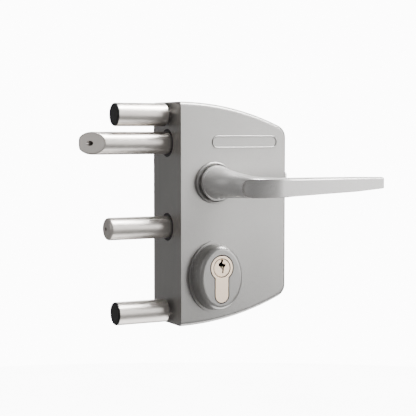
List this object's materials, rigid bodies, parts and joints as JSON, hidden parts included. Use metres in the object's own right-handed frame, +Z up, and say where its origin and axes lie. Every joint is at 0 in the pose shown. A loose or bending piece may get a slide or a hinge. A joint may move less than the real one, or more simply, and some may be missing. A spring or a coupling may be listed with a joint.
{
  "type": "gate lock",
  "caption": "Surface-mounted gate lock with bevelled spring latch, round dead bolt, double euro cylinder, lever handles on both sides and two through-fixings in sleeves.",
  "frame": {"origin": "on the mounting face, at mid depth of the case and level with the handle spindle's axis", "axes": "+X from the mounting face along the levers, -Y the front with the bare plaque outline, +Z up"},
  "size_m": [0.2031, 0.1424, 0.158],
  "materials": {
    "case_metal": "satin, coated",
    "lever_metal": "satin, anodised",
    "bolt_steel": "fine turned",
    "mechanism_steel": "plain",
    "fastener_steel": "plain",
    "cylinder_nickel": "nickel plated, satin",
    "bush_plastic": "matt black",
    "cap_plastic": "matt black"
  },
  "bodies": {
    "case": {"rear_housing": "case_metal", "front_cover": "case_metal", "front_handle_bush": "lever_metal", "rear_handle_bush": "lever_metal", "front_cylinder_rosette": "lever_metal", "rear_cylinder_rosette": "lever_metal", "fixing_sleeves": "bolt_steel", "mechanism_plate": "mechanism_steel", "dead_bolt_detent_spring": "mechanism_steel", "latch_spring": "mechanism_steel", "cover_screws": "fastener_steel", "rosette_screws": "fastener_steel", "cylinder_screw": "fastener_steel", "fixing_screws": "fastener_steel", "mechanism_screws": "fastener_steel", "cylinder_body": "cylinder_nickel", "latch_guide_bush": "bush_plastic", "dead_bolt_guide_bush": "bush_plastic", "hole_caps": "cap_plastic"},
    "handle": {"front_lever": "lever_metal", "rear_lever": "lever_metal", "spindle": "mechanism_steel", "follower_hub": "mechanism_steel", "hub_spacers": "mechanism_steel", "lever_grub_screws": "fastener_steel", "follower_return_spring": "mechanism_steel"},
    "latch": {"latch_head": "bolt_steel", "latch_slide": "mechanism_steel", "latch_adjusting_screw": "fastener_steel"},
    "dead_bolt": {"dead_bolt_head": "bolt_steel", "dead_bolt_slide": "mechanism_steel", "dead_bolt_adjusting_screw": "fastener_steel"},
    "cylinder_plug": {"front_plug": "cylinder_nickel", "cylinder_cam": "cylinder_nickel", "plug_coupler": "cylinder_nickel"},
    "rear_plug_body": {"rear_plug": "cylinder_nickel"}
  },
  "joints": [
    {"name": "handle_turn", "type": "hinge", "parent": "case", "child": "handle", "pos_m": [0.026, 0, 0], "axis": [0, 1, 0], "range_deg": [0, 40], "stiffness_Nm_per_rad": 1, "springref_deg": -45.84, "deforming": ["follower_return_spring"]},
    {"name": "latch_slide_in", "type": "slide", "parent": "case", "child": "latch", "axis": [1, 0, 0], "range_m": [0, 0.02], "stiffness_N_per_m": 150, "springref_m": -0.03, "deforming": ["latch_spring"]},
    {"name": "front_key_turn", "type": "hinge", "parent": "case", "child": "cylinder_plug", "pos_m": [0.026, 0, -0.0595], "axis": [0, -1, 0], "range_deg": [0, 360]},
    {"name": "rear_key_turn", "type": "hinge", "parent": "case", "child": "rear_plug_body", "pos_m": [0.026, 0, -0.0595], "axis": [0, -1, 0], "range_deg": [0, 360]},
    {"name": "dead_bolt_throw", "type": "slide", "parent": "case", "child": "dead_bolt", "axis": [-1, 0, 0], "range_m": [0, 0.02]}
  ],
  "couplings": [
    {"joint": "latch_slide_in", "follows": "handle_turn", "m_per_rad": 0.02864},
    {"joint": "front_key_turn", "follows": "dead_bolt_throw", "rad_per_m": 314}
  ]
}
